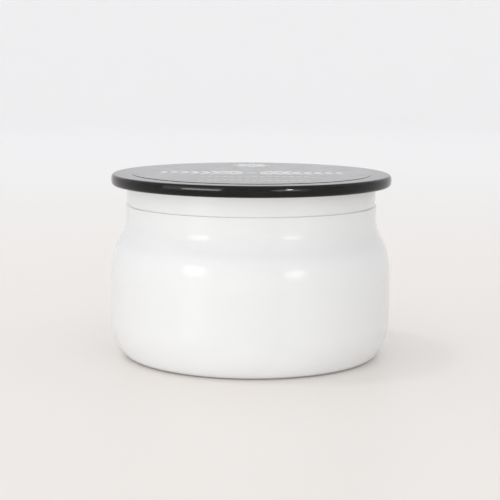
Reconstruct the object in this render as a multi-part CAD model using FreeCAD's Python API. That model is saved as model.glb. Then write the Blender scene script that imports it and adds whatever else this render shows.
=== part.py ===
"""A low, wide, empty candle jar with its lift-off metal lid.

The jar is pressed glass, sprayed white. A flat tinplate cover with a rolled rim sits over its mouth. A
drawn pan under the cover carries a soft gasket, which seals the mouth. A round label lies on the cover, and
a small one lies in the recess under the jar.

Millimetres. +Z is up and the origin is the centre of the plane that the jar stands on. Every piece is
round, so each one is an outline in the plane of radius and height, turned once round the Z axis.
"""

import FreeCAD
import Part

import math
import os

# ---- Driving dimensions ----------------------------------------------------------------------------------

BELLY_RADIUS = 55.0  # the jar's widest, and the lid's outer edge is as wide
LID_TOP = 71.8  # top face of the cover, above the table
RIM_HEIGHT = 4.37  # rolled rim of the cover, top to bottom
SHEET = 0.35  # tinplate of the cover
PAN_SHEET = 0.30  # tinplate of the pan
GLASS_WALL = 3.4

# Base of the jar
FOOT_RADIUS = 47.1  # outside of the flat ring that the jar stands on
FOOT_WIDTH = 5.0
PUSH_UP = 1.8  # how far the middle of the base is raised off the table
PUSH_UP_BEND = 2.4  # radius of each of the two bends between the ring and the raised middle
HEEL_SMALL_RADIUS = 4.63  # corner next to the foot
HEEL_SMALL_TURN = 55.0
HEEL_LARGE_RADIUS = 22.7  # corner that runs into the belly
HEEL_LARGE_TURN = 90.0 - HEEL_SMALL_TURN
BELLY_TOP = 32.0  # height where the wall starts to lean in

# Shoulder, from the belly up: two bends in, then one bend back to upright
SHOULDER_SLOW_RADIUS = 40.0
SHOULDER_SLOW_TURN = 15.0
SHOULDER_QUICK_RADIUS = 14.0
SHOULDER_QUICK_TURN = 18.0
NECK_BEND_RADIUS = 16.5
NECK_BEND_TURN = SHOULDER_SLOW_TURN + SHOULDER_QUICK_TURN

# Neck and lip
SEAM_HEIGHT = 60.0  # line where the mould of the neck met the mould of the body
SEAM_HALF_WIDTH = 0.25
SEAM_DEPTH = 0.6
LIP_SET_BACK = 0.35  # the band above the seam is this much slimmer than the neck below it
LIP_RADIUS = 1.2
LIP_GAP = 0.05  # running gap under the gasket with the lid on

# Inside of the jar
FLOOR_HEIGHT = 6.5
FLOOR_CORNER_RADIUS = 13.0

# Rolled rim of the cover
RIM_TOP_RADIUS = 1.1
RIM_BOTTOM_RADIUS = 1.3
RIM_CORNER_TURN = 75.0
RIM_SIDE_TURN = 180.0 - 2 * RIM_CORNER_TURN

# Pan under the cover
PAN_RADIUS = 42.0  # inside of its wall
PAN_DEPTH = 9.55  # underside of the cover to the upper face of the pan's floor
PAN_CORNER_RADIUS = 2.0
PAN_SHOULDER_RADIUS = 1.0
PAN_FLANGE_RADIUS = 53.5  # edge held in the rolled rim
BEAD_RADIUS = 30.0  # stiffening bead pressed into the pan's floor
BEAD_BEND = 1.6
BEAD_TURN = 28.0

# Gasket round the pan
GASKET_FLANGE = 0.9
GASKET_FLANGE_RADIUS = 48.2
GASKET_WALL = 1.1
GASKET_BOTTOM_GAP = 0.6  # from the pan's underside up to the gasket's lower edge
FIN_RADIUS = 45.6
FIN_COUNT = 3
FIN_START = 1.7  # from the gasket's lower edge to the middle of the lowest fin's root
FIN_PITCH = 2.3
FIN_ROOT = 0.9
FIN_TIP = 0.35
FIN_RISE = 0.3  # how far a fin's tip stands above the middle of its root

# Labels
LID_LABEL_RADIUS = 47.0
LID_LABEL_THICKNESS = 0.15
BASE_LABEL_RADIUS = 30.0
BASE_LABEL_THICKNESS = 0.12

PARTS = "parts"


# ---- Outlines --------------------------------------------------------------------------------------------


class Outline:
    """A path in the plane of radius and height, walked forward from a point by runs and turns."""

    def __init__(self, radius, height, heading=0.0):
        self.place = FreeCAD.Vector(radius, 0, height)
        self.heading = math.radians(heading)
        self.edges = []

    def line_to(self, radius, height):
        """A straight edge to a given point. The heading stays as it was."""
        end = FreeCAD.Vector(radius, 0, height)
        self.edges.append(Part.LineSegment(self.place, end).toShape())
        self.place = end

    def run(self, length):
        """Straight on."""
        x = self.place.x + length * math.cos(self.heading)
        z = self.place.z + length * math.sin(self.heading)
        self.line_to(x, z)

    def turn(self, radius, degrees):
        """A round bend, tangent to the path before it. Positive degrees turn left."""
        side = math.copysign(math.pi / 2, degrees)
        centre_way = self.heading + side
        centre = self.place + radius * direction(centre_way)
        middle_way = self.heading + math.radians(degrees) / 2 - side
        self.heading += math.radians(degrees)
        end = centre + radius * direction(self.heading - side)
        middle = centre + radius * direction(middle_way)
        self.edges.append(Part.Arc(self.place, middle, end).toShape())
        self.place = end


def direction(angle):
    """Unit vector at an angle from the radial direction towards +Z."""
    return FreeCAD.Vector(math.cos(angle), 0, math.sin(angle))


def turned(edges):
    """The solid that a closed outline sweeps round the Z axis."""
    wire = Part.Wire(Part.__sortEdges__(edges))
    return Part.Face(wire).revolve(FreeCAD.Vector(0, 0, 0), FreeCAD.Vector(0, 0, 1), 360)


def sheet_metal(height, steps, thickness):
    """A solid of bent sheet. The steps walk its upper face outwards from the axis at that height."""
    face = Outline(0, height)
    back = Outline(0, height - thickness)
    for step, size, degrees in steps:
        if step == "run":
            face.run(size)
            back.run(size)
        else:
            inward = math.copysign(thickness, degrees)
            face.turn(size, degrees)
            back.turn(size + inward, degrees)
    caps = [
        Part.LineSegment(FreeCAD.Vector(0, 0, height), FreeCAD.Vector(0, 0, height - thickness)).toShape(),
        Part.LineSegment(face.place, back.place).toShape(),
    ]
    return turned(face.edges + back.edges + caps)


def disc(radius, bottom, thickness):
    """A plain round sheet."""
    return Part.makeCylinder(radius, thickness, FreeCAD.Vector(0, 0, bottom))


# ---- Heights and radii that follow from the driving dimensions -------------------------------------------


def radius_lost(bend, from_turn, to_turn):
    """How much nearer to the axis an upright wall gets in a bend between two leans, in degrees."""
    return bend * (math.cos(math.radians(from_turn)) - math.cos(math.radians(to_turn)))


NECK_RADIUS = (
    BELLY_RADIUS
    - radius_lost(SHOULDER_SLOW_RADIUS, 0, SHOULDER_SLOW_TURN)
    - radius_lost(SHOULDER_QUICK_RADIUS, SHOULDER_SLOW_TURN, NECK_BEND_TURN)
    - radius_lost(NECK_BEND_RADIUS, 0, NECK_BEND_TURN)
)
LIP_OUTER_RADIUS = NECK_RADIUS - LIP_SET_BACK
BORE_RADIUS = NECK_RADIUS - GLASS_WALL

COVER_UNDERSIDE = LID_TOP - SHEET
PAN_FLOOR = COVER_UNDERSIDE - PAN_DEPTH
FLANGE_UNDERSIDE = COVER_UNDERSIDE - PAN_SHEET
GASKET_SEAT = FLANGE_UNDERSIDE - GASKET_FLANGE
LIP_TOP = GASKET_SEAT - LIP_GAP


# ---- Pieces ----------------------------------------------------------------------------------------------


def shoulder(outline, slow, quick, neck):
    """The three bends between belly and neck, walked upwards."""
    outline.turn(slow, SHOULDER_SLOW_TURN)
    outline.turn(quick, SHOULDER_QUICK_TURN)
    outline.turn(neck, -NECK_BEND_TURN)


def make_jar_body():
    """Glass jar: raised base, foot ring, round heel, belly, shoulder, neck with its mould seam, and lip."""
    rise_turn = math.degrees(math.acos(1 - PUSH_UP / (2 * PUSH_UP_BEND)))
    rise_length = 2 * PUSH_UP_BEND * math.sin(math.radians(rise_turn))

    outside = Outline(0, PUSH_UP)
    outside.run(FOOT_RADIUS - FOOT_WIDTH - rise_length)
    outside.turn(PUSH_UP_BEND, -rise_turn)
    outside.turn(PUSH_UP_BEND, rise_turn)
    outside.run(FOOT_WIDTH)
    outside.turn(HEEL_SMALL_RADIUS, HEEL_SMALL_TURN)
    outside.turn(HEEL_LARGE_RADIUS, HEEL_LARGE_TURN)
    outside.line_to(outside.place.x, BELLY_TOP)
    shoulder(outside, SHOULDER_SLOW_RADIUS, SHOULDER_QUICK_RADIUS, NECK_BEND_RADIUS)
    outside.line_to(outside.place.x, SEAM_HEIGHT - SEAM_HALF_WIDTH)
    outside.line_to(outside.place.x - SEAM_DEPTH, SEAM_HEIGHT)
    outside.line_to(LIP_OUTER_RADIUS, SEAM_HEIGHT + SEAM_HALF_WIDTH)
    outside.line_to(LIP_OUTER_RADIUS, LIP_TOP - LIP_RADIUS)
    outside.turn(LIP_RADIUS, 90)
    outside.line_to(BORE_RADIUS + LIP_RADIUS, LIP_TOP)
    outside.turn(LIP_RADIUS, 90)

    inside = Outline(0, FLOOR_HEIGHT)
    inside.run(BELLY_RADIUS - GLASS_WALL - FLOOR_CORNER_RADIUS)
    inside.turn(FLOOR_CORNER_RADIUS, 90)
    inside.line_to(inside.place.x, BELLY_TOP)
    shoulder(
        inside,
        SHOULDER_SLOW_RADIUS - GLASS_WALL,
        SHOULDER_QUICK_RADIUS - GLASS_WALL,
        NECK_BEND_RADIUS + GLASS_WALL,
    )
    inside.line_to(outside.place.x, outside.place.z)

    middle = Part.LineSegment(FreeCAD.Vector(0, 0, PUSH_UP), FreeCAD.Vector(0, 0, FLOOR_HEIGHT))
    return turned(outside.edges + inside.edges + [middle.toShape()])


def make_lid_cover():
    """Tinplate cover: a flat disc whose edge is rolled down, under and up against the pan's flange."""
    corner = math.radians(RIM_CORNER_TURN)
    half_side = math.radians(RIM_SIDE_TURN / 2)
    corners_drop = (RIM_TOP_RADIUS + RIM_BOTTOM_RADIUS) * (1 - math.cos(corner))
    side_radius = (RIM_HEIGHT - corners_drop) / (2 * math.sin(half_side))
    flat = BELLY_RADIUS - RIM_TOP_RADIUS * math.sin(corner) - side_radius * (1 - math.cos(half_side))
    curl_length = FLANGE_UNDERSIDE - (LID_TOP - RIM_HEIGHT + RIM_BOTTOM_RADIUS)
    steps = [
        ("run", flat, 0),
        ("turn", RIM_TOP_RADIUS, -RIM_CORNER_TURN),
        ("turn", side_radius, -RIM_SIDE_TURN),
        ("turn", RIM_BOTTOM_RADIUS, -RIM_CORNER_TURN - 90),
        ("run", curl_length, 0),
    ]
    return sheet_metal(LID_TOP, steps, SHEET)


def make_lid_pan():
    """Drawn tinplate pan: beaded floor, upright wall, and a flange that the cover's rim holds."""
    bead_width = 4 * BEAD_BEND * math.sin(math.radians(BEAD_TURN))
    to_bead = BEAD_RADIUS - bead_width / 2
    steps = [
        ("run", to_bead, 0),
        ("turn", BEAD_BEND, BEAD_TURN),
        ("turn", BEAD_BEND, -2 * BEAD_TURN),
        ("turn", BEAD_BEND, BEAD_TURN),
        ("run", PAN_RADIUS - PAN_CORNER_RADIUS - to_bead - bead_width, 0),
        ("turn", PAN_CORNER_RADIUS, 90),
        ("run", PAN_DEPTH - PAN_CORNER_RADIUS - PAN_SHOULDER_RADIUS, 0),
        ("turn", PAN_SHOULDER_RADIUS, -90),
        ("run", PAN_FLANGE_RADIUS - PAN_RADIUS - PAN_SHOULDER_RADIUS, 0),
    ]
    return sheet_metal(PAN_FLOOR, steps, PAN_SHEET)


def make_lid_gasket():
    """Soft ring round the pan's wall: a flange that lies on the jar's lip, and fins that fill its mouth."""
    inner = PAN_RADIUS + PAN_SHEET
    outer = inner + GASKET_WALL
    bottom = PAN_FLOOR - PAN_SHEET + GASKET_BOTTOM_GAP
    relief = PAN_SHOULDER_RADIUS  # clears the round shoulder of the pan

    ring = Outline(inner, bottom)
    ring.line_to(outer, bottom)
    for n in range(FIN_COUNT):
        middle = bottom + FIN_START + n * FIN_PITCH
        ring.line_to(outer, middle - FIN_ROOT / 2)
        ring.line_to(FIN_RADIUS, middle + FIN_RISE - FIN_TIP / 2)
        ring.line_to(FIN_RADIUS, middle + FIN_RISE + FIN_TIP / 2)
        ring.line_to(outer, middle + FIN_ROOT / 2)
    ring.line_to(outer, GASKET_SEAT)
    ring.line_to(GASKET_FLANGE_RADIUS, GASKET_SEAT)
    ring.line_to(GASKET_FLANGE_RADIUS, FLANGE_UNDERSIDE)
    ring.line_to(inner + relief, FLANGE_UNDERSIDE)
    ring.line_to(inner, FLANGE_UNDERSIDE - relief)
    ring.line_to(inner, bottom)
    return turned(ring.edges)


def make_lid_label():
    """Round printed label on top of the cover."""
    return disc(LID_LABEL_RADIUS, LID_TOP, LID_LABEL_THICKNESS)


def make_base_label():
    """Small round label stuck up into the raised middle of the jar's base."""
    return disc(BASE_LABEL_RADIUS, PUSH_UP - BASE_LABEL_THICKNESS, BASE_LABEL_THICKNESS)


PIECES = {
    "jar_body": make_jar_body,
    "lid_cover": make_lid_cover,
    "lid_pan": make_lid_pan,
    "lid_gasket": make_lid_gasket,
    "lid_label": make_lid_label,
    "base_label": make_base_label,
}


def main():
    os.makedirs(PARTS, exist_ok=True)
    for name, make in PIECES.items():
        solid = make()
        solid.exportStep(os.path.join(PARTS, name + ".step"))
        box = solid.optimalBoundingBox()
        print(
            f"{name}: valid {solid.isValid()}, {solid.Volume / 1000:.2f} cm3,"
            f" radius {box.XMax:.2f}, z {box.ZMin:.2f} to {box.ZMax:.2f}"
        )
    print(f"neck radius {NECK_RADIUS:.2f}, bore radius {BORE_RADIUS:.2f}, lip top {LIP_TOP:.2f}")


main()
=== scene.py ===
# %% [markdown]
# # A low, wide candle jar with a lift-off metal lid
#
# The jar is pressed glass, sprayed white on the outside and left bare inside. Its lid is a flat black tinplate
# cover with a rolled rim. Under the cover sits a drawn pan that carries a soft finned gasket. A charcoal label
# with white ink lies on the cover, and a blank sticker sits in the recess under the jar.
#
# The engineering model is the fixed frame. It holds every real size and the way the lid lifts. This lesson
# remakes each piece at a finer grain on that frame, gives each one its finish, and sets up a small lit table.

# %% Load the frame
import math

import bpy
from mathutils import Matrix, Vector


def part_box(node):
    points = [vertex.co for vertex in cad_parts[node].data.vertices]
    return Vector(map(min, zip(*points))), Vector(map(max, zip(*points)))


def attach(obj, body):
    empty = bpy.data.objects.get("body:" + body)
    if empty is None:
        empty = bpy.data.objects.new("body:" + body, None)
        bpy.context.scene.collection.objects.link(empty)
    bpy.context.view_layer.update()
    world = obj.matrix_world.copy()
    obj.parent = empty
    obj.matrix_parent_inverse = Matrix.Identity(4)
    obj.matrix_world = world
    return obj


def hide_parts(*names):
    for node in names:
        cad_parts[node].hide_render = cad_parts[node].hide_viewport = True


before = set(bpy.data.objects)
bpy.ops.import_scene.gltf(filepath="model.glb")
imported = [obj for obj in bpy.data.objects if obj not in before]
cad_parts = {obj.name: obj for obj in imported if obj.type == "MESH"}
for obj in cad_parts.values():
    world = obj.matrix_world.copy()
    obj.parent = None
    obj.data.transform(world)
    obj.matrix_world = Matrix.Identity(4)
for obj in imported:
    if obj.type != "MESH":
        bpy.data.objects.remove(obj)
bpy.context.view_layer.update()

print("nodes:", ", ".join(sorted(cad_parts)))

# %% [markdown]
# ## Real sizes
#
# Everything is in metres, with the table at height 0 and the jar's axis on Z. The outer sizes are read from the
# frame, so that a changed frame changes the pieces too. What a box can't tell, such as the radius of a bend,
# is written in millimetres next to the piece it belongs to.

# %% Sizes that the frame gives
MM = 0.001

lip_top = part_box("jar_body")[1].z
cover_low, cover_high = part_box("lid_cover")
pan_low, pan_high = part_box("lid_pan")
gasket_low, gasket_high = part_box("lid_gasket")
label_low, label_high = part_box("lid_label")
sticker_low, sticker_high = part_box("base_label")

cover_radius = cover_high.x
cover_top = cover_high.z
print(f"cover radius {cover_radius / MM:.2f} mm, cover top {cover_top / MM:.2f} mm, lip top {lip_top / MM:.2f} mm")

# %% [markdown]
# ## Drawing an outline
#
# Every piece here is round, so a lathe makes them all. On a real lathe a tool follows an outline while the work
# turns. In Blender the outline is a chain of points, and the Spin tool turns it about the Z axis.
#
# The outline could be typed in as a long list of points, but then nobody could tell a bend from a slip. A pen
# that walks the way a drawing is read is clearer: straight for so far, then round a bend of this radius. A bend
# is a small Spin of the last point about the bend's own centre, with enough steps that no chord strays more
# than a hundredth of a millimetre from the true arc.
#
# A straight stretch is an Extrude of the last point. Smooth shading blends the light across a face from corner
# to corner, so a flat face next to a bend would look swollen. A holding point close to each end of a long
# stretch keeps that blend in a narrow band, and the flat stays flat.

# %% The pen
CHORD_ERROR = 0.01 * MM
LARGEST_STEP = math.radians(15)
CLOSE = 1e-7  # points nearer than this are one point
HOLD = 0.12 * MM
SHORTEST_HELD = 6 * HOLD


class Pen:
    """Draws an outline in edit mode. Headings are degrees from the X axis towards the outline's up axis."""

    def __init__(self, name, across, up, heading=0.0, flat=False):
        """Starts a piece at one point. A flat pen draws on a level sheet, the other one in an upright section."""
        self.up = Vector((0, 1, 0)) if flat else Vector((0, 0, 1))
        self.axis = Vector((0, 0, -1)) if flat else Vector((0, 1, 0))
        self.place = self.point(across, up)
        self.heading = math.radians(heading)
        bpy.ops.object.select_all(action="DESELECT")
        bpy.ops.mesh.primitive_plane_add(size=MM, location=self.place)
        bpy.ops.object.transform_apply(location=True, rotation=True, scale=True)
        self.piece = bpy.context.object
        self.piece.name = name
        self.piece.data.name = name
        bpy.ops.object.mode_set(mode="EDIT")
        bpy.context.tool_settings.mesh_select_mode = (True, False, False)
        bpy.ops.mesh.select_all(action="SELECT")
        bpy.ops.mesh.merge(type="CENTER")

    def point(self, across, up):
        return across * Vector((1, 0, 0)) + up * self.up

    def way(self, angle):
        """Unit vector at an angle in the plane of the outline."""
        return self.point(math.cos(angle), math.sin(angle))

    def straight(self, move):
        """Extrudes the last point by a move, with a holding point near each end of a long one."""
        if move.length < CLOSE:
            return
        ends = HOLD / move.length if move.length > SHORTEST_HELD else 0
        for share in (ends, 1 - 2 * ends, ends):
            if share:
                bpy.ops.mesh.extrude_region_move(TRANSFORM_OT_translate={"value": share * move})
        self.place = self.place + move

    def run(self, length):
        """Straight on."""
        self.straight(length * self.way(self.heading))

    def to(self, across, up):
        """Straight to a given point. The heading stays as it was."""
        self.straight(self.point(across, up) - self.place)

    def turn(self, radius, degrees):
        """Round a bend that is tangent to the last stretch. Positive degrees turn left."""
        angle = math.radians(degrees)
        side = math.copysign(math.pi / 2, degrees)
        centre = self.place + radius * self.way(self.heading + side)
        finest = 2 * math.acos(1 - min(CHORD_ERROR / radius, 0.5))
        steps = math.ceil(abs(angle) / min(finest, LARGEST_STEP))
        bpy.ops.mesh.spin(steps=steps, angle=angle, center=centre, axis=self.axis)
        self.heading += angle
        self.place = centre + radius * self.way(self.heading - side)


# %% [markdown]
# ## Turning an outline into a piece
#
# Spin makes a copy of the outline at each step and joins it to the last one. The copies meet again after a full
# turn, and on the axis they all share one place, so doubles are merged at once. Only then can Blender tell the
# inside from the outside, and the faces are turned to look outwards.

# %% The lathe
SEGMENTS = 192
SHARP = math.radians(35)  # edges sharper than this stay crisp


def only(piece):
    """Makes one piece the only selected and active one."""
    bpy.ops.object.select_all(action="DESELECT")
    piece.select_set(True)
    bpy.context.view_layer.objects.active = piece


def close_faces():
    """In edit mode, merges doubles and turns every face outwards."""
    bpy.ops.mesh.select_all(action="SELECT")
    bpy.ops.mesh.remove_doubles(threshold=CLOSE)
    bpy.ops.mesh.normals_make_consistent(inside=False)


def finish_shape(piece):
    """Leaves edit mode, shades the piece smooth and prints its size."""
    bpy.ops.object.mode_set(mode="OBJECT")
    only(piece)
    bpy.ops.object.shade_smooth_by_angle(angle=SHARP)
    size = piece.dimensions / MM
    print(f"{piece.name}: {len(piece.data.polygons)} faces, {size.x:.2f} x {size.y:.2f} x {size.z:.2f} mm")


def turn_on_lathe(pen):
    """Spins the pen's outline once round the Z axis and returns the piece."""
    bpy.ops.mesh.select_all(action="SELECT")
    bpy.ops.mesh.spin(steps=SEGMENTS, angle=2 * math.pi, center=(0, 0, 0), axis=(0, 0, 1))
    close_faces()
    finish_shape(pen.piece)
    return pen.piece


# %% [markdown]
# ## The jar
#
# A jar like this is pressed: a gob of hot glass drops into an iron mould, and a plunger pushes it out against
# the walls. That gives the shape its marks. The body mould and the neck ring meet in a fine line round the neck.
# The heel is thick and round, because glass won't fill a sharp corner. The base is pushed up in the middle, so
# that the jar stands on a narrow ring and can't rock.
#
# The outline starts on the axis under the base, runs out over the foot, up the wall, over the lip, and comes
# back down the inside to the axis. One closed outline gives a real wall, with the true thickness at every height.

# %% Jar sizes
GLASS_WALL = 3.4 * MM
FOOT_RADIUS = 47.1 * MM
FOOT_WIDTH = 5.0 * MM
PAD_HEIGHT = 0.12 * MM  # the foot stands on small pads this tall
PUSH_UP_BEND = 2.4 * MM
HEEL_SMALL_RADIUS = 4.63 * MM
HEEL_SMALL_TURN = 55.0
HEEL_LARGE_RADIUS = 22.7 * MM
BELLY_TOP = 32.0 * MM
SHOULDER_BENDS = ((40.0 * MM, 15.0), (14.0 * MM, 18.0), (16.5 * MM, -33.0))  # radius and turn, going up
NECK_FOOT = 55.34 * MM  # where the shoulder ends and the neck is upright
SEAM_HEIGHT = 60.0 * MM
SEAM_HALF_WIDTH = 0.33 * MM
SEAM_DEPTH = 0.5 * MM
LIP_SET_BACK = 0.35 * MM
LIP_RADIUS = 1.2 * MM
FLOOR_HEIGHT = 6.5 * MM
FLOOR_CORNER_RADIUS = 13.0 * MM

# %% Draw the jar's outline and turn it
push_up = sticker_high.z
rise_turn = math.degrees(math.acos(1 - (push_up - PAD_HEIGHT) / (2 * PUSH_UP_BEND)))
rise_length = 2 * PUSH_UP_BEND * math.sin(math.radians(rise_turn))

pen = Pen("jar_glass", 0, push_up)
pen.run(FOOT_RADIUS - FOOT_WIDTH - rise_length)
pen.turn(PUSH_UP_BEND, -rise_turn)
pen.turn(PUSH_UP_BEND, rise_turn)
pen.run(FOOT_WIDTH / 2)
pen.run(FOOT_WIDTH / 2)
pen.turn(HEEL_SMALL_RADIUS, HEEL_SMALL_TURN)
pen.turn(HEEL_LARGE_RADIUS, 90 - HEEL_SMALL_TURN)
pen.to(pen.place.x, BELLY_TOP)
for radius, degrees in SHOULDER_BENDS:
    pen.turn(radius, degrees)
neck_radius = pen.place.x
bore_radius = neck_radius - GLASS_WALL
print(f"the shoulder ends at {pen.place.z / MM:.2f} mm, where the neck's radius is {neck_radius / MM:.2f} mm")

pen.to(neck_radius, SEAM_HEIGHT - SEAM_HALF_WIDTH)
pen.to(neck_radius - SEAM_DEPTH, SEAM_HEIGHT)
pen.to(neck_radius - LIP_SET_BACK, SEAM_HEIGHT + SEAM_HALF_WIDTH)
pen.to(neck_radius - LIP_SET_BACK, lip_top - LIP_RADIUS)
pen.turn(LIP_RADIUS, 90)
pen.to(bore_radius + LIP_RADIUS, lip_top)
pen.turn(LIP_RADIUS, 90)

pen.to(bore_radius, NECK_FOOT)
for radius, degrees in reversed(SHOULDER_BENDS):
    pen.turn(radius - math.copysign(GLASS_WALL, degrees), -degrees)
pen.to(pen.place.x, FLOOR_HEIGHT + FLOOR_CORNER_RADIUS)
pen.turn(FLOOR_CORNER_RADIUS, -90)
pen.to(0, FLOOR_HEIGHT)
jar_glass = turn_on_lathe(pen)

# %% [markdown]
# ## Stipples and mould seams
#
# Hot glass must not slide on a smooth conveyor, so a pressed foot is stippled: two rings of tiny pads. The lathe
# left rings of faces on the foot. Taking every second face of each, like the squares of a chessboard, then an
# Inset and a small move down, makes all the pads at once.
#
# The body mould opens in two halves, which leaves two faint upright lines on the glass. Each one is a single
# column of the lathe's points, moved out by less than the thickness of a hair. It shows only where light grazes.

# %% Choose parts of a mesh by their place
SELECT_MODES = {"VERT": (True, False, False), "EDGE": (False, True, False), "FACE": (False, False, True)}


def select_where(piece, kind, test):
    """Opens a piece in edit mode with just those of its points or faces selected that pass a test."""
    only(piece)
    bpy.ops.object.mode_set(mode="EDIT")
    bpy.context.tool_settings.mesh_select_mode = SELECT_MODES[kind]
    bpy.ops.mesh.select_all(action="DESELECT")
    bpy.ops.object.mode_set(mode="OBJECT")
    chosen = [part for part in (piece.data.polygons if kind == "FACE" else piece.data.vertices) if test(part)]
    for part in chosen:
        part.select = True
    bpy.ops.object.mode_set(mode="EDIT")
    print(f"{piece.name}: {len(chosen)} selected")


def lathe_step(place):
    """How many lathe steps a place is round from the X axis."""
    return math.atan2(place.y, place.x) / (2 * math.pi) * SEGMENTS


# %% Stipple the foot
PAD_MARGIN = 0.25 * MM
foot_middle = FOOT_RADIUS - FOOT_WIDTH / 2


def is_pad(face):
    """True for every second broad face of the foot, in two rings that are out of step."""
    radius = face.center.xy.length
    broad = face.area > (MM * MM) and face.normal.z < -0.99 and face.center.z < PAD_HEIGHT + CLOSE
    ring = 1 if radius > foot_middle else 0
    return broad and (math.floor(lathe_step(face.center)) + ring) % 2 == 0


select_where(jar_glass, "FACE", is_pad)
bpy.ops.mesh.inset(thickness=PAD_MARGIN, use_individual=True)
bpy.ops.transform.translate(value=(0, 0, -PAD_HEIGHT))
finish_shape(jar_glass)

# %% Raise the two mould seams
MOULD_SEAM_HEIGHT = 0.015 * MM
MOULD_SEAM_STEP = 2  # lathe steps from the jar's side
for side in (0, SEGMENTS // 2):
    step = MOULD_SEAM_STEP - side

    def is_seam(point):
        """True for the outside of one column of points, from the heel to the seam of the neck."""
        outside = point.normal.xy.dot(point.co.xy) > 0.3 * point.co.xy.length
        body = FLOOR_HEIGHT < point.co.z < SEAM_HEIGHT - 2 * SEAM_HALF_WIDTH
        return outside and body and abs(lathe_step(point.co) - step) < 0.1

    select_where(jar_glass, "VERT", is_seam)
    angle = 2 * math.pi * step / SEGMENTS
    out = MOULD_SEAM_HEIGHT * Vector((math.cos(angle), math.sin(angle), 0))
    bpy.ops.transform.translate(value=out)
    finish_shape(jar_glass)

# %% [markdown]
# ## Bent sheet
#
# The cover and the pan are both stamped from thin tinplate. Sheet keeps its thickness round a bend, so its two
# faces are never the same curve: the outside of the bend has the larger radius. The section is drawn out along
# one face, round the raw edge, and back along the other face with each bend the other way and one thickness
# tighter or wider. Blender's Solidify could give the thickness too, but this way the raw edge comes out round,
# as a trimmed edge is.

# %% Draw a section of bent sheet
RUN = None  # stands in a step for the radius of a straight stretch


def draw_sheet(name, height, steps, thickness):
    """Draws a section of bent sheet from the axis outwards along its upper face, and back along its lower one."""
    pen = Pen(name, 0, height)
    for radius, amount in steps:
        if radius is RUN:
            pen.run(amount)
        else:
            pen.turn(radius, amount)
    pen.turn(thickness / 2, -180)
    for radius, amount in reversed(steps):
        if radius is RUN:
            pen.run(amount)
        else:
            pen.turn(radius + math.copysign(thickness, amount), -amount)
    return pen


# %% [markdown]
# ## The cover
#
# The cover is a flat disc. Its edge is curled down and under in a rolling die, which makes it safe to hold and
# stiff. The raw edge ends inside the roll, against the pan's flange, and clamps it.

# %% Turn the cover
COVER_SHEET = 0.35 * MM
RIM_TOP_RADIUS = 1.1 * MM
RIM_BOTTOM_RADIUS = 1.3 * MM
RIM_CORNER_TURN = 75.0
RIM_SIDE_TURN = 180 - 2 * RIM_CORNER_TURN

corner = math.radians(RIM_CORNER_TURN)
half_side = math.radians(RIM_SIDE_TURN / 2)
rim_height = cover_top - cover_low.z
corners_drop = (RIM_TOP_RADIUS + RIM_BOTTOM_RADIUS) * (1 - math.cos(corner))
side_radius = (rim_height - corners_drop) / (2 * math.sin(half_side))
flat_radius = cover_radius - RIM_TOP_RADIUS * math.sin(corner) - side_radius * (1 - math.cos(half_side))
curl_length = gasket_high.z - (cover_low.z + RIM_BOTTOM_RADIUS) - COVER_SHEET / 2

cover_steps = [
    (RUN, flat_radius),
    (RIM_TOP_RADIUS, -RIM_CORNER_TURN),
    (side_radius, -RIM_SIDE_TURN),
    (RIM_BOTTOM_RADIUS, -RIM_CORNER_TURN - 90),
    (RUN, curl_length),
]
cover_shell = turn_on_lathe(draw_sheet("cover_shell", cover_top, cover_steps, COVER_SHEET))

# %% [markdown]
# ## The pan
#
# The pan is drawn in one stroke from a round blank: a punch pushes the sheet into a die, and the edge that is
# left makes the flange. A bead pressed into its floor keeps that large flat from drumming. The stroke leaves
# fine rings, which the finish shows later.

# %% Turn the pan
PAN_SHEET = 0.30 * MM
PAN_RADIUS = 42.0 * MM
PAN_CORNER_RADIUS = 2.0 * MM
PAN_SHOULDER_RADIUS = 1.0 * MM
BEAD_RADIUS = 30.0 * MM
BEAD_BEND = 1.6 * MM
BEAD_TURN = 28.0

pan_floor = pan_low.z + PAN_SHEET
pan_depth = pan_high.z - pan_floor
bead_width = 4 * BEAD_BEND * math.sin(math.radians(BEAD_TURN))
to_bead = BEAD_RADIUS - bead_width / 2
pan_steps = [
    (RUN, to_bead),
    (BEAD_BEND, BEAD_TURN),
    (BEAD_BEND, -2 * BEAD_TURN),
    (BEAD_BEND, BEAD_TURN),
    (RUN, PAN_RADIUS - PAN_CORNER_RADIUS - to_bead - bead_width),
    (PAN_CORNER_RADIUS, 90),
    (RUN, pan_depth - PAN_CORNER_RADIUS - PAN_SHOULDER_RADIUS),
    (PAN_SHOULDER_RADIUS, -90),
    (RUN, pan_high.x - PAN_RADIUS - PAN_SHOULDER_RADIUS - PAN_SHEET / 2),
]
drawn_pan = turn_on_lathe(draw_sheet("drawn_pan", pan_floor, pan_steps, PAN_SHEET))

# %% [markdown]
# ## The gasket
#
# The gasket is moulded silicone. Its flange lies between the pan and the lip of the jar. Its fins stand out from
# a thin wall, lean up a little, and fold against the glass as the lid goes in. Rubber has no sharp edges where
# the mould is polished, so the whole outline gets a small vertex bevel before it is turned.

# %% Turn the gasket
GASKET_WALL = 1.1 * MM
GASKET_FLANGE = 0.9 * MM
FIN_RADIUS = 45.6 * MM
FIN_COUNT = 3
FIN_START = 1.7 * MM
FIN_PITCH = 2.3 * MM
FIN_ROOT = 0.9 * MM
FIN_TIP = 0.35 * MM
FIN_RISE = 0.3 * MM
GASKET_ROUND = 0.1 * MM

inner = PAN_RADIUS + PAN_SHEET
outer = inner + GASKET_WALL
bottom = gasket_low.z
seat = gasket_high.z - GASKET_FLANGE

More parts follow.
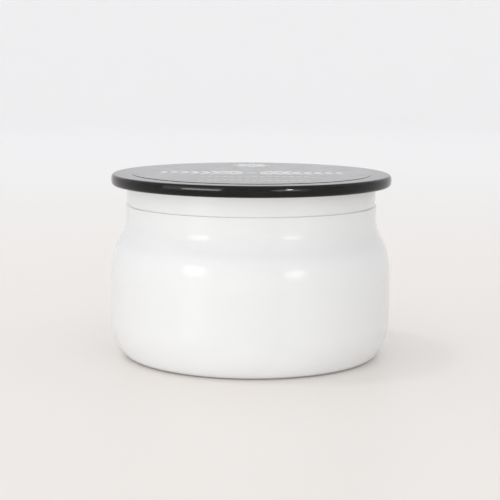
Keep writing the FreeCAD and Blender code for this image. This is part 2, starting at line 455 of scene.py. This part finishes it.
pen = Pen("finned_gasket", inner, bottom)
pen.to(outer, bottom)
for n in range(FIN_COUNT):
    middle = bottom + FIN_START + n * FIN_PITCH
    pen.to(outer, middle - FIN_ROOT / 2)
    pen.to(FIN_RADIUS, middle + FIN_RISE - FIN_TIP / 2)
    pen.to(FIN_RADIUS, middle + FIN_RISE + FIN_TIP / 2)
    pen.to(outer, middle + FIN_ROOT / 2)
pen.to(outer, seat)
pen.to(gasket_high.x, seat)
pen.to(gasket_high.x, gasket_high.z)
pen.to(inner + PAN_SHOULDER_RADIUS, gasket_high.z)
pen.to(inner, gasket_high.z - PAN_SHOULDER_RADIUS)
pen.to(inner, bottom)
bpy.ops.mesh.select_all(action="SELECT")
bpy.ops.mesh.remove_doubles(threshold=CLOSE)
bpy.ops.mesh.bevel(offset=GASKET_ROUND, segments=2, affect="VERTICES")
finned_gasket = turn_on_lathe(pen)

# %% [markdown]
# ## The two stickers
#
# A sticker is a punched disc of laminated paper. The punch drags its edge down a little. A filled circle is
# extruded by the thickness of the sheet, and a small Bevel of the upper edge gives that drawn edge. The bevel
# would tilt the shading of the whole flat face, because that face has no points but those on its rim. An Inset
# gives it a rim of its own, and the middle stays flat to the eye.

# %% Cut the stickers
INK = 0.03 * MM
STICKER_EDGE = 0.04 * MM


def cut_sticker(name, radius, bottom, top, edge_height):
    """A disc of sheet whose rim is rounded at one height."""
    bpy.ops.object.select_all(action="DESELECT")
    bpy.ops.mesh.primitive_circle_add(vertices=SEGMENTS, radius=radius, fill_type="NGON", location=(0, 0, bottom))
    bpy.ops.object.transform_apply(location=True, rotation=True, scale=True)
    disc = bpy.context.object
    disc.name = name
    disc.data.name = name
    bpy.ops.object.mode_set(mode="EDIT")
    bpy.ops.mesh.select_all(action="SELECT")
    bpy.ops.mesh.extrude_region_move(TRANSFORM_OT_translate={"value": (0, 0, top - bottom)})
    close_faces()
    bpy.ops.object.mode_set(mode="OBJECT")
    select_where(disc, "VERT", lambda point: abs(point.co.z - edge_height) < CLOSE)
    bpy.ops.mesh.bevel(offset=STICKER_EDGE, segments=2, affect="EDGES")
    close_faces()
    bpy.ops.object.mode_set(mode="OBJECT")
    select_where(disc, "FACE", lambda face: len(face.vertices) == SEGMENTS)
    bpy.ops.mesh.inset(thickness=4 * STICKER_EDGE)
    finish_shape(disc)
    return disc


label_face = label_high.z - INK
label_sheet = cut_sticker("label_sheet", label_high.x, label_low.z, label_face, label_face)
base_sticker = cut_sticker("base_sticker", sticker_high.x, sticker_low.z, sticker_high.z, sticker_low.z)

# %% [markdown]
# ## The print
#
# The label carries a plain plant ornament in thick white screen ink: a rosette near the far edge, a garland
# across the middle and two rows of small lozenges. Screen ink stands up from the paper, so each mark is a thin
# body and catches light along its edge.
#
# One leaf is drawn, and everything else is made of it. Its outline is two arcs that meet in two points. The half
# below the midrib is cut off with Bisect, and a Mirror puts it back with a fine gap between the halves.

# %% Draw one leaf
LEAF_LENGTH = 7.0 * MM
LEAF_ARC = 38.0  # the angle between the leaf's edge and its midrib, at each end
MIDRIB = 0.2 * MM
INK_BED = 0.01 * MM  # how far the ink sinks into the paper


def draw_leaf():
    """A flat leaf that points along +X from the origin, as a body of ink."""
    pen = Pen("leaf", 0, 0, heading=LEAF_ARC, flat=True)
    arc_radius = LEAF_LENGTH / (2 * math.sin(math.radians(LEAF_ARC)))
    pen.turn(arc_radius, -2 * LEAF_ARC)
    pen.heading = math.radians(180 + LEAF_ARC)
    pen.turn(arc_radius, -2 * LEAF_ARC)
    bpy.ops.mesh.select_all(action="SELECT")
    bpy.ops.mesh.remove_doubles(threshold=CLOSE)
    bpy.ops.mesh.edge_face_add()
    bpy.ops.mesh.bisect(plane_co=(0, MIDRIB / 2, 0), plane_no=(0, 1, 0), clear_inner=True)
    bpy.ops.mesh.select_all(action="SELECT")
    bpy.ops.mesh.extrude_region_move(TRANSFORM_OT_translate={"value": (0, 0, INK + INK_BED)})
    bpy.ops.object.mode_set(mode="OBJECT")
    mirror = pen.piece.modifiers.new("other half", "MIRROR")
    mirror.use_axis = (False, True, False)
    mirror.use_mirror_merge = False
    bpy.ops.object.modifier_apply(modifier=mirror.name)
    bpy.ops.object.mode_set(mode="EDIT")
    close_faces()
    finish_shape(pen.piece)
    return pen.piece


leaf = draw_leaf()

# %% [markdown]
# A mark is set down by copying the drawn one with its own mesh, and moving, turning and sizing the copy. When a
# motif is complete, Join makes it one piece. Its place is then put into its mesh, so that it sits on the label
# as the engineering parts sit on the frame.

# %% Set down copies of a mark, and join them into one print
def set_down(mark, x, y, degrees=0.0, size=1.0, breadth=1.0):
    """A copy of a mark on the label, with its own mesh. Breadth widens it across its own length."""
    only(mark)
    bpy.ops.object.duplicate()
    copy = bpy.context.object
    copy.location = (x, y, label_face - INK_BED)
    copy.rotation_euler = (0, 0, math.radians(degrees))
    copy.scale = (size, size * breadth, 1)
    bpy.ops.object.transform_apply(location=True, rotation=True, scale=True)
    return copy


def join_print(name, marks):
    """Joins marks into one piece of print."""
    bpy.ops.object.select_all(action="DESELECT")
    for mark in marks:
        mark.select_set(True)
    bpy.context.view_layer.objects.active = marks[0]
    bpy.ops.object.join()
    print_piece = bpy.context.object
    print_piece.name = name
    print_piece.data.name = name
    size = print_piece.dimensions / MM
    print(f"{name}: {len(marks)} marks, {size.x:.1f} x {size.y:.1f} mm")
    return print_piece


# %% A rosette near the far edge
ROSETTE_PLACE = 0.66 * cover_radius
ROSETTE_EYE = 1.2 * MM
ROSETTE_LEAVES = 8
ROSETTE_BREADTH = 1.25

marks = []
for n in range(ROSETTE_LEAVES):
    degrees = 360 * n / ROSETTE_LEAVES
    around = Matrix.Rotation(math.radians(degrees), 3, "Z") @ Vector((ROSETTE_EYE, 0, 0))
    marks.append(set_down(leaf, around.x, ROSETTE_PLACE + around.y, degrees, breadth=ROSETTE_BREADTH))
ink_rosette = join_print("ink_rosette", marks)

# %% [markdown]
# The garland is two laurel sprays that grow from the middle to either side. Only the right-hand spray is drawn.
# Its stem is a row of arcs that bend up and down in turn, drawn with the same pen. Extruding the line sideways
# gives it a width, and a second Extrude gives it the height of the ink. Leaves stand on it in pairs, large near
# the middle and small at the tip, and a Mirror makes the other spray.

# %% A garland across the middle
GARLAND_REACH = 0.60 * cover_radius
GARLAND_GAP = 3.2 * MM  # half the space left in the middle for the bud
GARLAND_WAVES = 3  # half waves in one spray
GARLAND_BEND = 14.0  # how steeply the stem crosses the middle line
STEM_WIDTH = 0.6 * MM
LEAF_PAIRS = 8
LEAF_LEAN = 58.0
FIRST_LEAF = 1.35
LAST_LEAF = 0.8
BUD_SIZE = 0.75

half_wave = (GARLAND_REACH - GARLAND_GAP) / GARLAND_WAVES
stem_radius = half_wave / (2 * math.sin(math.radians(GARLAND_BEND)))
pen = Pen("stem", GARLAND_GAP, 0, heading=GARLAND_BEND, flat=True)
for n in range(GARLAND_WAVES):
    pen.turn(stem_radius, -2 * GARLAND_BEND * (-1) ** n)
bpy.ops.mesh.select_all(action="SELECT")
bpy.ops.mesh.extrude_region_move(TRANSFORM_OT_translate={"value": (0, STEM_WIDTH, 0)})
bpy.ops.mesh.select_all(action="SELECT")
bpy.ops.mesh.extrude_region_move(TRANSFORM_OT_translate={"value": (0, 0, INK + INK_BED)})
close_faces()
finish_shape(pen.piece)
pen.piece.location = (0, -STEM_WIDTH / 2, label_face - INK_BED)
bpy.ops.object.transform_apply(location=True, rotation=True, scale=True)


def stem_height(x):
    """How far the stem stands from the middle line."""
    along = (x - GARLAND_GAP) / half_wave
    wave = min(int(along), GARLAND_WAVES - 1)
    from_middle = (along - wave - 0.5) * half_wave
    rise = math.sqrt(stem_radius**2 - from_middle**2) - stem_radius * math.cos(math.radians(GARLAND_BEND))
    return rise * (-1) ** wave


marks = [pen.piece]
for n in range(LEAF_PAIRS):
    part_way = n / (LEAF_PAIRS - 1)
    x = GARLAND_GAP + (GARLAND_REACH - GARLAND_GAP) * part_way
    size = FIRST_LEAF + (LAST_LEAF - FIRST_LEAF) * part_way
    for side in (1, -1):
        marks.append(set_down(leaf, x, stem_height(x), side * LEAF_LEAN, size))
ink_garland = join_print("ink_garland", marks)

mirror = ink_garland.modifiers.new("other spray", "MIRROR")
mirror.use_axis = (True, False, False)
mirror.use_mirror_merge = False
only(ink_garland)
bpy.ops.object.modifier_apply(modifier=mirror.name)
bud = [set_down(leaf, -BUD_SIZE * LEAF_LENGTH / 2, 0, 0, BUD_SIZE, breadth=1.6)]
bud.append(ink_garland)
ink_garland = join_print("ink_garland", bud)

# %% Two rows of lozenges
ROW_PLACES = {"ink_row_upper": -0.30 * cover_radius, "ink_row_lower": -0.60 * cover_radius}
ROW_REACH = 0.36 * cover_radius
LOZENGES = 15
LOZENGE_SIZE = 0.34

rows = []
for name, y in ROW_PLACES.items():
    marks = []
    for n in range(LOZENGES):
        x = ROW_REACH * (2 * n / (LOZENGES - 1) - 1)
        marks.append(set_down(leaf, x, y, 0, LOZENGE_SIZE))
    rows.append(join_print(name, marks))

bpy.data.objects.remove(leaf)

# %% [markdown]
# ## Finishes
#
# Each finish starts from what the real one is and how its surface was made. One small helper adds a node with
# its settings and links. Another turns a colour as a designer writes it into the linear light that Blender
# counts in. A finish starts with the same two nodes every time: the shader, and the place on the piece in metres.

# %% Helpers for finishes
def linear(code):
    """A colour code such as #F2F0EC as linear red, green, blue and alpha."""
    channels = [int(code[i : i + 2], 16) / 255 for i in (1, 3, 5)]
    return [c / 12.92 if c <= 0.04045 else ((c + 0.055) / 1.055) ** 2.4 for c in channels] + [1.0]


def add(tree, kind, inputs, **settings):
    """Adds a node. Its inputs are filled with values, or linked when they are given another node's output."""
    node = tree.nodes.new(kind)
    for name, value in settings.items():
        setattr(node, name, value)
    for name, value in inputs.items():
        if isinstance(value, bpy.types.NodeSocket):
            tree.links.new(value, node.inputs[name])
        else:
            node.inputs[name].default_value = value
    return node


def new_finish(name):
    """An empty finish: the material, its node tree, its shader, and the place on the piece in metres."""
    material = bpy.data.materials.new(name)
    material.use_nodes = True
    tree = material.node_tree
    shader = tree.nodes["Principled BSDF"]
    place = add(tree, "ShaderNodeTexCoord", {}).outputs["Object"]
    return material, tree, shader, place


def per_mm(spacing):
    """The texture scale that repeats a pattern about once in so many millimetres."""
    return 1 / (spacing * MM)


# %% [markdown]
# ### White spray coat on glass
#
# The glass is sprayed with a white two-part enamel and baked. The glass under it is not quite true, which bends
# long reflections. The coat flows out smooth but keeps a trace of orange peel, about a millimetre across. It
# also varies a little in gloss, because no spray is even. The eye reads those three scales together as enamel
# on glass, and a perfectly even white would look like plastic.

# %% White spray coat
def make_white_coat():
    material, tree, shader, place = new_finish("white_enamel_sprayed_on_glass")
    cloud = add(tree, "ShaderNodeTexNoise", {"Vector": place, "Scale": per_mm(35), "Detail": 3.0}).outputs["Fac"]
    tone = add(
        tree,
        "ShaderNodeMix",
        {0: cloud, 6: linear("#E1E2E2"), 7: linear("#DEDFDF")},
        data_type="RGBA",
    )
    gloss = add(tree, "ShaderNodeMapRange", {"Value": cloud, 1: 0.3, 2: 0.7, 3: 0.13, 4: 0.18})
    wave = add(tree, "ShaderNodeTexNoise", {"Vector": place, "Scale": per_mm(22), "Detail": 1.0}).outputs["Fac"]
    glass = add(tree, "ShaderNodeBump", {"Height": wave, "Distance": 0.05 * MM, "Strength": 1.0})
    peel = add(tree, "ShaderNodeTexNoise", {"Vector": place, "Scale": per_mm(1.2), "Detail": 1.0}).outputs["Fac"]
    coat = add(
        tree,
        "ShaderNodeBump",
        {"Height": peel, "Distance": 0.004 * MM, "Strength": 1.0, "Normal": glass.outputs["Normal"]},
    )
    tree.links.new(tone.outputs[2], shader.inputs["Base Color"])
    tree.links.new(gloss.outputs["Result"], shader.inputs["Roughness"])
    tree.links.new(coat.outputs["Normal"], shader.inputs["Normal"])
    shader.inputs["IOR"].default_value = 1.5
    return material


# %% [markdown]
# ### Bare glass over the coat
#
# Inside, the eye sees the coat through three millimetres of glass: a soft white, a touch green and darker, under
# a hard clear surface. A clear coat layer on the shader is that surface. It needs no light to pass through it,
# so it stays clean where the wall is thick. Where the spray drifted in over the lip, the white is brighter, and
# that edge is never straight.

# %% Bare glass
OVERSPRAY = 2.2 * MM


def make_bare_glass():
    material, tree, shader, place = new_finish("bare_pressed_glass_over_white")
    height = add(tree, "ShaderNodeSeparateXYZ", {"Vector": place}).outputs["Z"]
    drift = add(tree, "ShaderNodeTexNoise", {"Vector": place, "Scale": per_mm(4), "Detail": 4.0}).outputs["Fac"]
    edge = add(tree, "ShaderNodeMath", {0: drift, 1: -2 * OVERSPRAY, 2: height}, operation="MULTIPLY_ADD").outputs[0]
    sprayed = add(
        tree,
        "ShaderNodeMapRange",
        {"Value": edge, 1: lip_top - 2.6 * OVERSPRAY, 2: lip_top - 1.6 * OVERSPRAY, 3: 0.0, 4: 1.0},
    )
    tone = add(
        tree,
        "ShaderNodeMix",
        {0: sprayed.outputs["Result"], 6: linear("#E9EBE9"), 7: linear("#F0EFED")},
        data_type="RGBA",
    )
    wave = add(tree, "ShaderNodeTexNoise", {"Vector": place, "Scale": per_mm(14), "Detail": 1.0}).outputs["Fac"]
    glass = add(tree, "ShaderNodeBump", {"Height": wave, "Distance": 0.08 * MM, "Strength": 1.0})
    tree.links.new(tone.outputs[2], shader.inputs["Base Color"])
    tree.links.new(glass.outputs["Normal"], shader.inputs["Normal"])
    tree.links.new(glass.outputs["Normal"], shader.inputs["Coat Normal"])
    shader.inputs["Roughness"].default_value = 0.45
    shader.inputs["Coat Weight"].default_value = 1.0
    shader.inputs["Coat Roughness"].default_value = 0.03
    shader.inputs["Coat IOR"].default_value = 1.5
    return material


# %% [markdown]
# ### Black lacquer on tinplate
#
# The cover is coated flat with black stoving lacquer before it is stamped. The lacquer flows out smooth, so it
# mirrors the room, most of all at a glancing angle. The sheet under it is never dead flat, so those reflections
# wander slowly across the top.

# %% Black lacquer
def make_black_lacquer():
    material, tree, shader, place = new_finish("black_stoved_lacquer_on_tinplate")
    cloud = add(tree, "ShaderNodeTexNoise", {"Vector": place, "Scale": per_mm(12), "Detail": 4.0}).outputs["Fac"]
    tone = add(
        tree,
        "ShaderNodeMix",
        {0: cloud, 6: linear("#090808"), 7: linear("#100E0E")},
        data_type="RGBA",
    )
    gloss = add(tree, "ShaderNodeMapRange", {"Value": cloud, 1: 0.3, 2: 0.7, 3: 0.06, 4: 0.09})
    wave = add(tree, "ShaderNodeTexNoise", {"Vector": place, "Scale": per_mm(40), "Detail": 1.0}).outputs["Fac"]
    sheet = add(tree, "ShaderNodeBump", {"Height": wave, "Distance": 0.06 * MM, "Strength": 1.0})
    peel = add(tree, "ShaderNodeTexNoise", {"Vector": place, "Scale": per_mm(0.6), "Detail": 1.0}).outputs["Fac"]
    coat = add(
        tree,
        "ShaderNodeBump",
        {"Height": peel, "Distance": 0.0006 * MM, "Strength": 1.0, "Normal": sheet.outputs["Normal"]},
    )
    tree.links.new(tone.outputs[2], shader.inputs["Base Color"])
    tree.links.new(gloss.outputs["Result"], shader.inputs["Roughness"])
    tree.links.new(coat.outputs["Normal"], shader.inputs["Normal"])
    shader.inputs["IOR"].default_value = 1.33
    return material


# %% [markdown]
# ### Drawn tinplate
#
# The pan is bare tinplate under a thin clear lacquer. Tin is a pale, slightly warm metal. The drawing stroke
# leaves fine rings round the axis, about a third of a millimetre apart, and those stretch every highlight
# outwards from the middle.

# %% Drawn tinplate
def make_drawn_tinplate():
    material, tree, shader, place = new_finish("clear_lacquered_drawn_tinplate")
    level = add(tree, "ShaderNodeVectorMath", {0: place, 1: (1.0, 1.0, 0.0)}, operation="MULTIPLY").outputs[0]
    radius = add(tree, "ShaderNodeVectorMath", {0: level}, operation="LENGTH").outputs["Value"]
    rings = add(
        tree,
        "ShaderNodeTexNoise",
        {"W": radius, "Scale": per_mm(0.35), "Detail": 2.0},
        noise_dimensions="1D",
    ).outputs["Fac"]
    cloud = add(tree, "ShaderNodeTexNoise", {"Vector": place, "Scale": per_mm(9), "Detail": 4.0}).outputs["Fac"]
    tone = add(
        tree,
        "ShaderNodeMix",
        {0: cloud, 6: linear("#D6D2C8"), 7: linear("#C4BFB2")},
        data_type="RGBA",
    )
    gloss = add(tree, "ShaderNodeMapRange", {"Value": cloud, 1: 0.3, 2: 0.7, 3: 0.20, 4: 0.34})
    bump = add(tree, "ShaderNodeBump", {"Height": rings, "Distance": 0.004 * MM, "Strength": 1.0})
    tree.links.new(tone.outputs[2], shader.inputs["Base Color"])
    tree.links.new(gloss.outputs["Result"], shader.inputs["Roughness"])
    tree.links.new(bump.outputs["Normal"], shader.inputs["Normal"])
    shader.inputs["Metallic"].default_value = 1.0
    return material


# %% [markdown]
# ### Clear silicone
#
# Uncoloured silicone rubber is milky: light goes a millimetre or two into it and comes out again. Subsurface
# scattering gives that glow to the thin fins. The surface copies a blasted mould, so it is matt and fine-grained.

# %% Silicone
def make_silicone():
    material, tree, shader, place = new_finish("milky_moulded_silicone")
    cloud = add(tree, "ShaderNodeTexNoise", {"Vector": place, "Scale": per_mm(6), "Detail": 3.0}).outputs["Fac"]
    tone = add(
        tree,
        "ShaderNodeMix",
        {0: cloud, 6: linear("#E6E8E5"), 7: linear("#D9DCD8")},
        data_type="RGBA",
    )
    grain = add(tree, "ShaderNodeTexNoise", {"Vector": place, "Scale": per_mm(0.25), "Detail": 2.0}).outputs["Fac"]
    bump = add(tree, "ShaderNodeBump", {"Height": grain, "Distance": 0.008 * MM, "Strength": 1.0})
    tree.links.new(tone.outputs[2], shader.inputs["Base Color"])
    tree.links.new(bump.outputs["Normal"], shader.inputs["Normal"])
    shader.inputs["Roughness"].default_value = 0.42
    shader.inputs["IOR"].default_value = 1.41
    shader.inputs["Subsurface Weight"].default_value = 0.35
    shader.inputs["Subsurface Radius"].default_value = (1.0, 1.0, 0.9)
    shader.inputs["Subsurface Scale"].default_value = 1.5 * MM
    return material


# %% [markdown]
# ### Label papers and ink
#
# The lid's label is charcoal paper under a clear film. The film bridges the paper's fibres, so it is smooth close
# up but faintly cloudy. The sticker under the jar is plain uncoated paper, where the fibres show. The ink is
# screen printed: opaque, matt, and a little uneven in thickness.

# %% Papers and ink
def make_paper(name, light, dark, roughness, fibre, fibre_height, cloud_size):
    """A sheet whose tone is cloudy, with fibres of so many millimetres that stand up so far."""
    material, tree, shader, place = new_finish(name)
    cloud = add(tree, "ShaderNodeTexNoise", {"Vector": place, "Scale": per_mm(cloud_size), "Detail": 5.0}).outputs["Fac"]
    tone = add(tree, "ShaderNodeMix", {0: cloud, 6: linear(light), 7: linear(dark)}, data_type="RGBA")
    gloss = add(tree, "ShaderNodeMapRange", {"Value": cloud, 1: 0.3, 2: 0.7, 3: roughness - 0.04, 4: roughness + 0.04})
    fibres = add(
        tree,
        "ShaderNodeTexNoise",
        {"Vector": place, "Scale": per_mm(fibre), "Detail": 3.0, "Distortion": 1.5},
    ).outputs["Fac"]
    bump = add(tree, "ShaderNodeBump", {"Height": fibres, "Distance": fibre_height * MM, "Strength": 1.0})
    tree.links.new(tone.outputs[2], shader.inputs["Base Color"])
    tree.links.new(gloss.outputs["Result"], shader.inputs["Roughness"])
    tree.links.new(bump.outputs["Normal"], shader.inputs["Normal"])
    shader.inputs["IOR"].default_value = 1.48
    return material


white_coat = make_white_coat()
bare_glass = make_bare_glass()
black_lacquer = make_black_lacquer()
drawn_tinplate = make_drawn_tinplate()
silicone = make_silicone()
charcoal_film = make_paper("charcoal_paper_with_clear_film", "#3C3D44", "#34353B", 0.11, 1.6, 0.001, 8)
plain_paper = make_paper("uncoated_white_paper", "#EEECE6", "#E4E1D9", 0.75, 0.5, 0.015, 5)
white_ink = make_paper("white_screen_ink", "#F4F4F3", "#E8E8E7", 0.5, 0.4, 0.004, 3)

# %% [markdown]
# ## Each piece gets its finish, its body and its place in the frame
#
# The jar has two finishes. Faces of the wall that look towards the axis, and those of the floor inside, are bare
# glass. Everything else, up to the top of the lip, was reached by the spray.

# %% Dress the pieces
PIECES = (
    # piece, finish, engineering node, material slot, body
    (jar_glass, white_coat, "jar_body", "coated_glass", "jar"),
    (base_sticker, plain_paper, "base_label", "base_sticker", "jar"),
    (cover_shell, black_lacquer, "lid_cover", "black_tinplate", "lid"),
    (drawn_pan, drawn_tinplate, "lid_pan", "lacquered_tinplate", "lid"),
    (finned_gasket, silicone, "lid_gasket", "clear_silicone", "lid"),
    (label_sheet, charcoal_film, "lid_label", "lid_sticker", "lid"),
    (ink_rosette, white_ink, None, "lid_sticker", "lid"),
    (ink_garland, white_ink, None, "lid_sticker", "lid"),
    (rows[0], white_ink, None, "lid_sticker", "lid"),
    (rows[1], white_ink, None, "lid_sticker", "lid"),
)
for piece, finish, node, slot, body in PIECES:
    piece.data.materials.clear()
    piece.data.materials.append(finish)
    if node:
        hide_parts(node)
    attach(piece, body)


# %% Leave the inside of the jar bare
def is_inside(face):
    """True for faces of the bore, the inner wall and the floor."""
    if face.center.z > lip_top - LIP_RADIUS / 2:
        return False
    inwards = face.normal.xy.dot(face.center.xy) < -CLOSE
    floor = face.normal.z > 0.5 and face.center.z < BELLY_TOP
    return face.center.z > FLOOR_HEIGHT - CLOSE and (inwards or floor)


jar_glass.data.materials.append(bare_glass)
inside = [face for face in jar_glass.data.polygons if is_inside(face)]
for face in inside:
    face.material_index = 1
print(f"{len(inside)} faces of bare glass")

# %% [markdown]
# ## The table
#
# The jar stands on a wide sheet of pale card that curves up all round, so no horizon shows from any side. The
# card is matt. It is a little warm near the jar. Further out it is painted lighter and neutral: painted light
# that stands in for the light on the far card and the backdrop.

# %% The sheet
STAGE_FLAT = 1.9
STAGE_SWEEP = 0.9
STAGE_WALL = 0.5

pen = Pen("table_card", 0, 0)
pen.run(STAGE_FLAT)
pen.turn(STAGE_SWEEP, 90)
pen.run(STAGE_WALL)
table_card = turn_on_lathe(pen)
bpy.ops.object.mode_set(mode="EDIT")
bpy.ops.mesh.select_all(action="SELECT")
bpy.ops.mesh.normals_make_consistent(inside=True)
bpy.ops.object.mode_set(mode="OBJECT")


def make_card():
    material, tree, shader, place = new_finish("smooth_white_card")
    far = add(tree, "ShaderNodeVectorMath", {0: place}, operation="LENGTH").outputs["Value"]
    # Painted light: the card's colour gets lighter and neutral with distance from the jar, in place of light on the far
    # card and backdrop
    painted_light_far_out = add(tree, "ShaderNodeMapRange", {"Value": far, 1: 0.2, 2: 1.0, 3: 0.0, 4: 1.0}).outputs["Result"]
    tone = add(
        tree,
        "ShaderNodeMix",
        {0: painted_light_far_out, 6: linear("#F4EFEB"), 7: linear("#F8F8F9")},
        data_type="RGBA",
    )
    grain = add(tree, "ShaderNodeTexNoise", {"Vector": place, "Scale": per_mm(1.5), "Detail": 2.0}).outputs["Fac"]
    bump = add(tree, "ShaderNodeBump", {"Height": grain, "Distance": 0.01 * MM, "Strength": 1.0})
    tree.links.new(tone.outputs[2], shader.inputs["Base Color"])
    tree.links.new(bump.outputs["Normal"], shader.inputs["Normal"])
    shader.inputs["Roughness"].default_value = 0.4
    return material


table_card.data.materials.append(make_card())

# %% [markdown]
# ## Light
#
# White on white is lit by what surrounds it. A bright, even room does most of the work. A small skylight high on
# the left throws the lid's soft shadow on the shoulder, and the jar's on the table. Two low banks model the form.
# They stay out of reflections, so the black rim stays black.
#
# The highlights are windows that light one piece each, which Blender calls light linking. The enamel sees two
# windows, and the lower half of the jar sees their mirror images in a polished table top. The table is matt here, so
# those mirror images are two more panels, hung below it, and the table is left out of what may shade them. A third one,
# which nothing mirrors, is the light that the table throws up under the lid. The rim of the lid sees two thin
# windows with a soft glow round each, and a small lamp.

# %% Windows and room
AIM = Vector((0, 0, 0.04))


def hang_light(name, azimuth, elevation, distance, width, height, power, mirrored=True, toward=AIM):
    """A soft panel that faces the jar or another place. Azimuth 0 is the camera's side, and 90 is the right."""
    around = math.radians(azimuth)
    above = math.radians(elevation)
    way = Vector((math.sin(around) * math.cos(above), -math.cos(around) * math.cos(above), math.sin(above)))
    data = bpy.data.lights.new(name, "AREA")
    data.shape = "RECTANGLE"
    data.size = width
    data.size_y = height
    data.energy = power
    panel = bpy.data.objects.new(name, data)
    bpy.context.scene.collection.objects.link(panel)
    panel.location = AIM + distance * way
    panel.rotation_euler = (Vector(toward) - panel.location).to_track_quat("-Z", "Y").to_euler()
    panel.visible_camera = False
    panel.visible_glossy = mirrored
    return panel


hang_light("skylight", azimuth=-86, elevation=71, distance=1.5, width=0.10, height=0.10, power=1.4, mirrored=False)
hang_light("bank_left", azimuth=-48, elevation=5.5, distance=1.8, width=1.3, height=0.34, power=3.8, mirrored=False)
hang_light("bank_front", azimuth=0, elevation=5, distance=1.8, width=1.6, height=0.3, power=4.3, mirrored=False)
hang_light("backdrop_light", azimuth=180, elevation=60, distance=1.6, width=2.0, height=0.3, power=2.4, toward=(0, 2.5, 0.1))

only_enamel = bpy.data.collections.new("only_enamel")
only_enamel.objects.link(jar_glass)
only_rim = bpy.data.collections.new("only_rim")
only_rim.objects.link(cover_shell)

WINDOWS = (
    # name, azimuth, elevation, width, height, power, pieces that it lights, whether they mirror it
    ("window_left", -46, 13, 0.38, 0.20, 0.9, only_enamel, True),
    ("window_right", 36, 11.5, 0.28, 0.12, 0.55, only_enamel, True),
    ("window_left_in_table", -46, -9, 0.34, 0.34, 0.9, only_enamel, True),
    ("window_right_in_table", 36, -9, 0.20, 0.28, 0.25, only_enamel, True),
    ("table_glow", 0, -24, 1.00, 0.30, 2.0, only_enamel, False),
    ("rim_window_left", -40, 8, 0.70, 0.20, 4.2, only_rim, True),
    ("rim_glow_left", -48, 9, 1.20, 0.90, 4.6, only_rim, True),
    ("rim_glow_right", 33, 8, 0.55, 0.60, 1.0, only_rim, True),
    ("rim_window_right", 27, 7, 0.48, 0.07, 0.9, only_rim, True),
    ("rim_lamp", 30, 13, 0.09, 0.09, 1.9, only_rim, True),
)
WINDOW_DISTANCE = 1.25
for name, azimuth, elevation, width, height, power, pieces, mirrored in WINDOWS:
    panel = hang_light(name, azimuth, elevation, WINDOW_DISTANCE, width, height, power, mirrored)
    panel.light_linking.receiver_collection = pieces
    panel.light_linking.blocker_collection = pieces

world = bpy.data.worlds.new("bright_room")
world.use_nodes = True
world.node_tree.nodes["Background"].inputs["Color"].default_value = linear("#FCFCFC")
world.node_tree.nodes["Background"].inputs["Strength"].default_value = 0.90
bpy.context.scene.world = world
bpy.context.scene.view_settings.view_transform = "Standard"

# %% [markdown]
# ## Camera
#
# The lens is long and the camera stands ten lid radii away, a little above the lid, so that the top of the lid
# is a thin ellipse. The camera leans by a third of a degree, as a hand-held one does.

# %% Place the camera
LENS = 100.8
DISTANCE = 10.0 * cover_radius
HEIGHT = 2.16 * cover_radius
ASIDE = -0.0066 * cover_radius
PITCH = 8.03
ROLL = 0.34

camera_data = bpy.data.cameras.new("camera")
camera_data.lens = LENS
camera_data.sensor_width = 36.0
camera = bpy.data.objects.new("camera", camera_data)
bpy.context.scene.collection.objects.link(camera)
camera.location = (ASIDE, -DISTANCE, HEIGHT)
tilt = Matrix.Rotation(math.radians(90 - PITCH), 3, "X") @ Matrix.Rotation(math.radians(ROLL), 3, "Z")
camera.rotation_euler = tilt.to_euler()
bpy.context.scene.camera = camera
